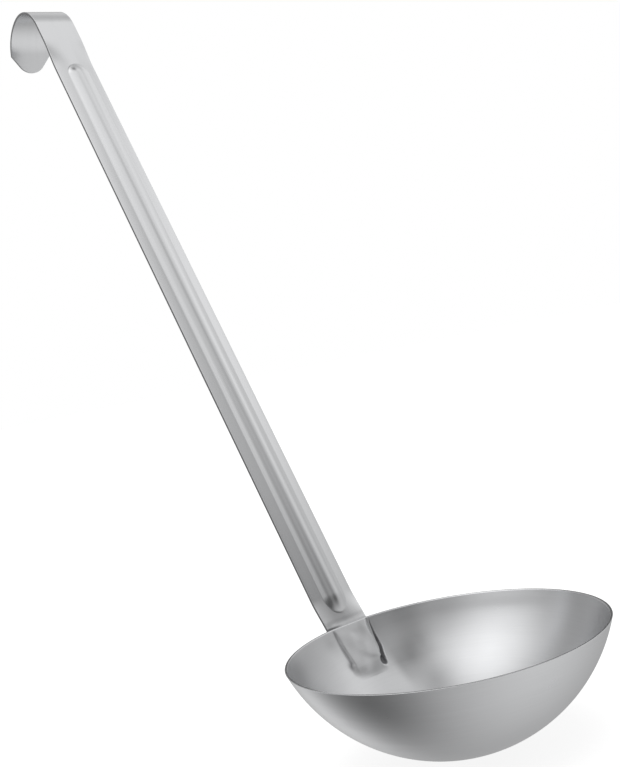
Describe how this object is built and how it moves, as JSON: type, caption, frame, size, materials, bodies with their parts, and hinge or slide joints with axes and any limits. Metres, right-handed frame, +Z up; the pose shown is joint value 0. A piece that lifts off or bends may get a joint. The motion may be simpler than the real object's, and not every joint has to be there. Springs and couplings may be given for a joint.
{
  "type": "soup ladle",
  "caption": "Round drawn steel bowl on a long flat beaded strip handle with a hooked end, for dipping, pouring and portioning soup and for hanging on a pot rim or rail.",
  "frame": {"origin": "lowest outside point of the bowl with the rim level", "axes": "+Z up through the bowl's opening, -X towards the handle, the plane y = 0 is the mid plane of bowl and handle"},
  "size_m": [0.3329, 0.134, 0.3849],
  "materials": {
    "bowl": "satin, fine circular brushing",
    "handle": "satin, brushed along its length",
    "spot_welds": "satin, slightly darker heat mark"
  },
  "bodies": {
    "root": {"bowl": "bowl", "handle": "handle", "spot_welds": "spot_welds"}
  },
  "joints": []
}
